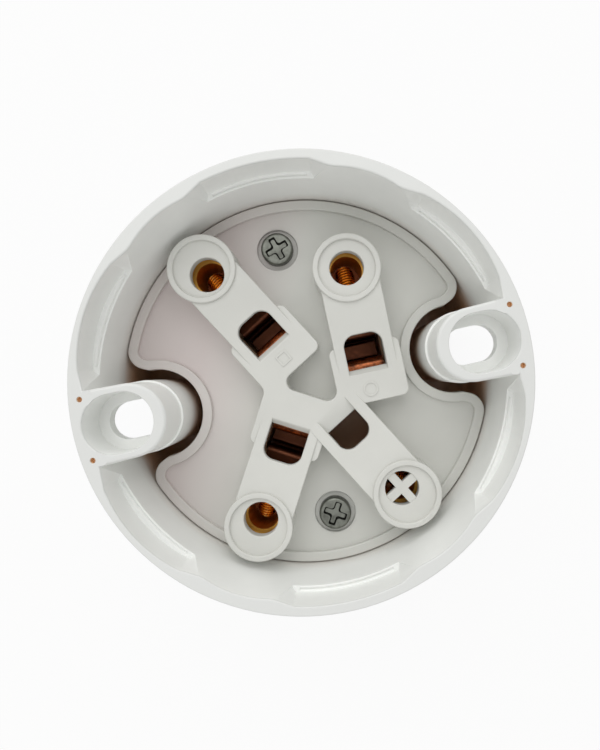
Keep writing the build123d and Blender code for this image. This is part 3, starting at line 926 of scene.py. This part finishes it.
def pan_head():
    """Pan head on z = 0 with a tapered cross recess, and painted shade in the recess and on the
    side.
    """
    bm = bmesh.new()
    radius = PAN_DIAMETER / 2 * MM
    top_level = 0.999 * PAN_HEIGHT * MM
    bmesh.ops.create_cone(
        bm, cap_ends=True, segments=HEAD_STEPS, radius1=radius, radius2=radius,
        depth=PAN_HEIGHT * MM, matrix=Matrix.Translation((0, 0, PAN_HEIGHT / 2 * MM)),
    )
    rim = [edge for edge in bm.edges if all(v.co.z > PAN_HEIGHT * 0.9 * MM for v in edge.verts)]
    bmesh.ops.bevel(
        bm, geom=rim, offset=PAN_ROUNDING * MM, offset_type="OFFSET", segments=8, profile=0.5,
        affect="EDGES", clamp_overlap=True, material=-1,
    )
    half_width, half_span = RECESS_WIDTH / 2 * MM, RECESS_SPAN / 2 * MM
    for reach in (-half_span, -half_width, half_width, half_span):
        for normal in ((1, 0, 0), (0, 1, 0)):
            top = [face for face in bm.faces if face.calc_center_median().z > top_level]
            around = {v for face in top for v in face.verts}
            around |= {e for face in top for e in face.edges}
            bmesh.ops.bisect_plane(
                bm, geom=top + list(around), plane_co=Vector(normal) * reach, plane_no=normal
            )
    cross = []
    for face in bm.faces:
        centre = face.calc_center_median()
        near, far = sorted((abs(centre.x), abs(centre.y)))
        if centre.z > top_level and near < half_width and far < half_span:
            cross.append(face)
    bmesh.ops.inset_region(
        bm, faces=cross, thickness=RECESS_LEAN * MM, depth=-RECESS_DEPTH * MM,
        use_even_offset=True,
    )
    bmesh.ops.dissolve_faces(bm, faces=cross)
    # The cuts across the flat top aren't needed any more
    grid = [
        edge for edge in bm.edges
        if all(face.normal.z > 0.999 for face in edge.link_faces)
        and all(v.co.z > top_level for v in edge.verts)
    ]
    bmesh.ops.dissolve_limit(
        bm, angle_limit=FLAT_ANGLE, verts=list({v for edge in grid for v in edge.verts}),
        edges=grid, delimit=set(),
    )
    bmesh.ops.recalc_face_normals(bm, faces=bm.faces)
    corners = []
    for edge in bm.edges:
        middle = (edge.verts[0].co + edge.verts[1].co) / 2
        upright = abs(edge.verts[0].co.z - edge.verts[1].co.z) > RECESS_DEPTH / 2 * MM
        in_recess = (PAN_HEIGHT - RECESS_DEPTH) * MM < middle.z < PAN_HEIGHT * MM
        if upright and in_recess and hypot(middle.x, middle.y) < RECESS_SPAN * 0.55 * MM:
            corners.append(edge)
    # The corners between two arms are rounder than those at an arm's end
    inner = [edge for edge in corners if edge.is_convex]
    outer = [edge for edge in corners if not edge.is_convex]
    for edges, radius in ((inner, RECESS_FILLET), (outer, RECESS_FILLET / 2)):
        bmesh.ops.bevel(
            bm, geom=[edge for edge in edges if edge.is_valid], offset=radius * MM,
            offset_type="OFFSET", segments=4, profile=0.5, affect="EDGES", clamp_overlap=False,
            material=-1,
        )
    # Painted shade on the recess walls and on the head's side
    recess_shade = 0.9
    side_shade = 0.3
    crevice_shade = bm.faces.layers.float.new("crevice_shade")
    for face in bm.faces:
        spot = face.calc_center_median() / MM
        in_recess = hypot(spot.x, spot.y) < PAN_DIAMETER / 2 - PAN_ROUNDING
        if abs(face.normal.z) < (0.95 if in_recess else 0.3):
            face[crevice_shade] = recess_shade if in_recess else side_shade
    shade_by_angle(bm, SMOOTH_ANGLE)
    return bm


class SOCKET_OT_terminal_screws(bpy.types.Operator):
    """Make the four terminal screws, with slotted heads and rolled threads"""

    bl_idname = "socket.terminal_screws"
    bl_label = "Terminal Screws"

    def execute(self, context):
        sizes = context.scene.socket_sizes
        for name in ARMS:
            bm = thread_mesh(
                sizes.thread_diameter, sizes.thread_pitch, sizes.thread_depth,
                (SHAFT_LENGTH + HEAD_OVERLAP) * MM,
            )
            bmesh.ops.translate(
                bm, verts=bm.verts, vec=(0, 0, (HEAD_START + HEAD_HEIGHT - HEAD_OVERLAP) * MM)
            )
            shade_by_angle(bm, THREAD_ANGLE)
            add_mesh(bm, slotted_head())
            bmesh.ops.transform(bm, matrix=axis_matrix(name), verts=bm.verts)
            new_piece(
                f"threaded_{name}_screw", bm, "screw_brass", f"{name}_clamp", f"{name}_screw"
            )
        return {"FINISHED"}


class SOCKET_OT_plate_screws(bpy.types.Operator):
    """Make the two screws that hold the plate, with cross recesses and coarse threads"""

    bl_idname = "socket.plate_screws"
    bl_label = "Plate Screws"

    def execute(self, context):
        sizes = context.scene.socket_sizes
        for name, (screw_y, turn) in PLATE_SCREWS.items():
            bm = thread_mesh(
                sizes.plate_screw_diameter, sizes.plate_screw_pitch, sizes.plate_screw_depth,
                (PAN_SHAFT + HEAD_OVERLAP) * MM,
            )
            bmesh.ops.translate(bm, verts=bm.verts, vec=(0, 0, -PAN_SHAFT * MM))
            shade_by_angle(bm, THREAD_ANGLE)
            add_mesh(bm, pan_head())
            seat = Matrix.Translation((0, screw_y * MM, PLATE_SCREW_SEAT * MM))
            bmesh.ops.transform(bm, matrix=seat @ Matrix.Rotation(turn, 4, "Z"), verts=bm.verts)
            new_piece(f"pan_head_{name}", bm, "zinc_steel", "housing", f"plate_screw_{name}")
        return {"FINISHED"}


class SOCKET_PT_panel(bpy.types.Panel):
    """Lists the steps that finish the socket"""

    bl_label = "Surface Socket"
    bl_idname = "SOCKET_PT_panel"
    bl_space_type = "VIEW_3D"
    bl_region_type = "UI"
    bl_category = "Socket"

    def draw(self, context):
        for step in STEPS:
            self.layout.operator(step.bl_idname)
        for group in (context.scene.socket_sizes, context.scene.socket_colours):
            column = self.layout.column()
            for name in group.__annotations__:
                column.prop(group, name)


STEPS = (
    SOCKET_OT_stage,
    SOCKET_OT_metalwork,
    SOCKET_OT_mouldings,
    SOCKET_OT_terminal_screws,
    SOCKET_OT_plate_screws,
)
CLASSES = (SocketSizes, SocketColours) + STEPS + (SOCKET_PT_panel,)


def register():
    for cls in CLASSES:
        bpy.utils.register_class(cls)
    bpy.types.Scene.socket_sizes = bpy.props.PointerProperty(type=SocketSizes)
    bpy.types.Scene.socket_colours = bpy.props.PointerProperty(type=SocketColours)


def unregister():
    del bpy.types.Scene.socket_colours
    del bpy.types.Scene.socket_sizes
    for cls in reversed(CLASSES):
        bpy.utils.unregister_class(cls)


def main():
    """Registers the add-on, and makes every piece."""
    register()
    for step in STEPS:
        family, call = step.bl_idname.split(".")
        getattr(getattr(bpy.ops, family), call)()


if __name__ == "__main__":
    main()
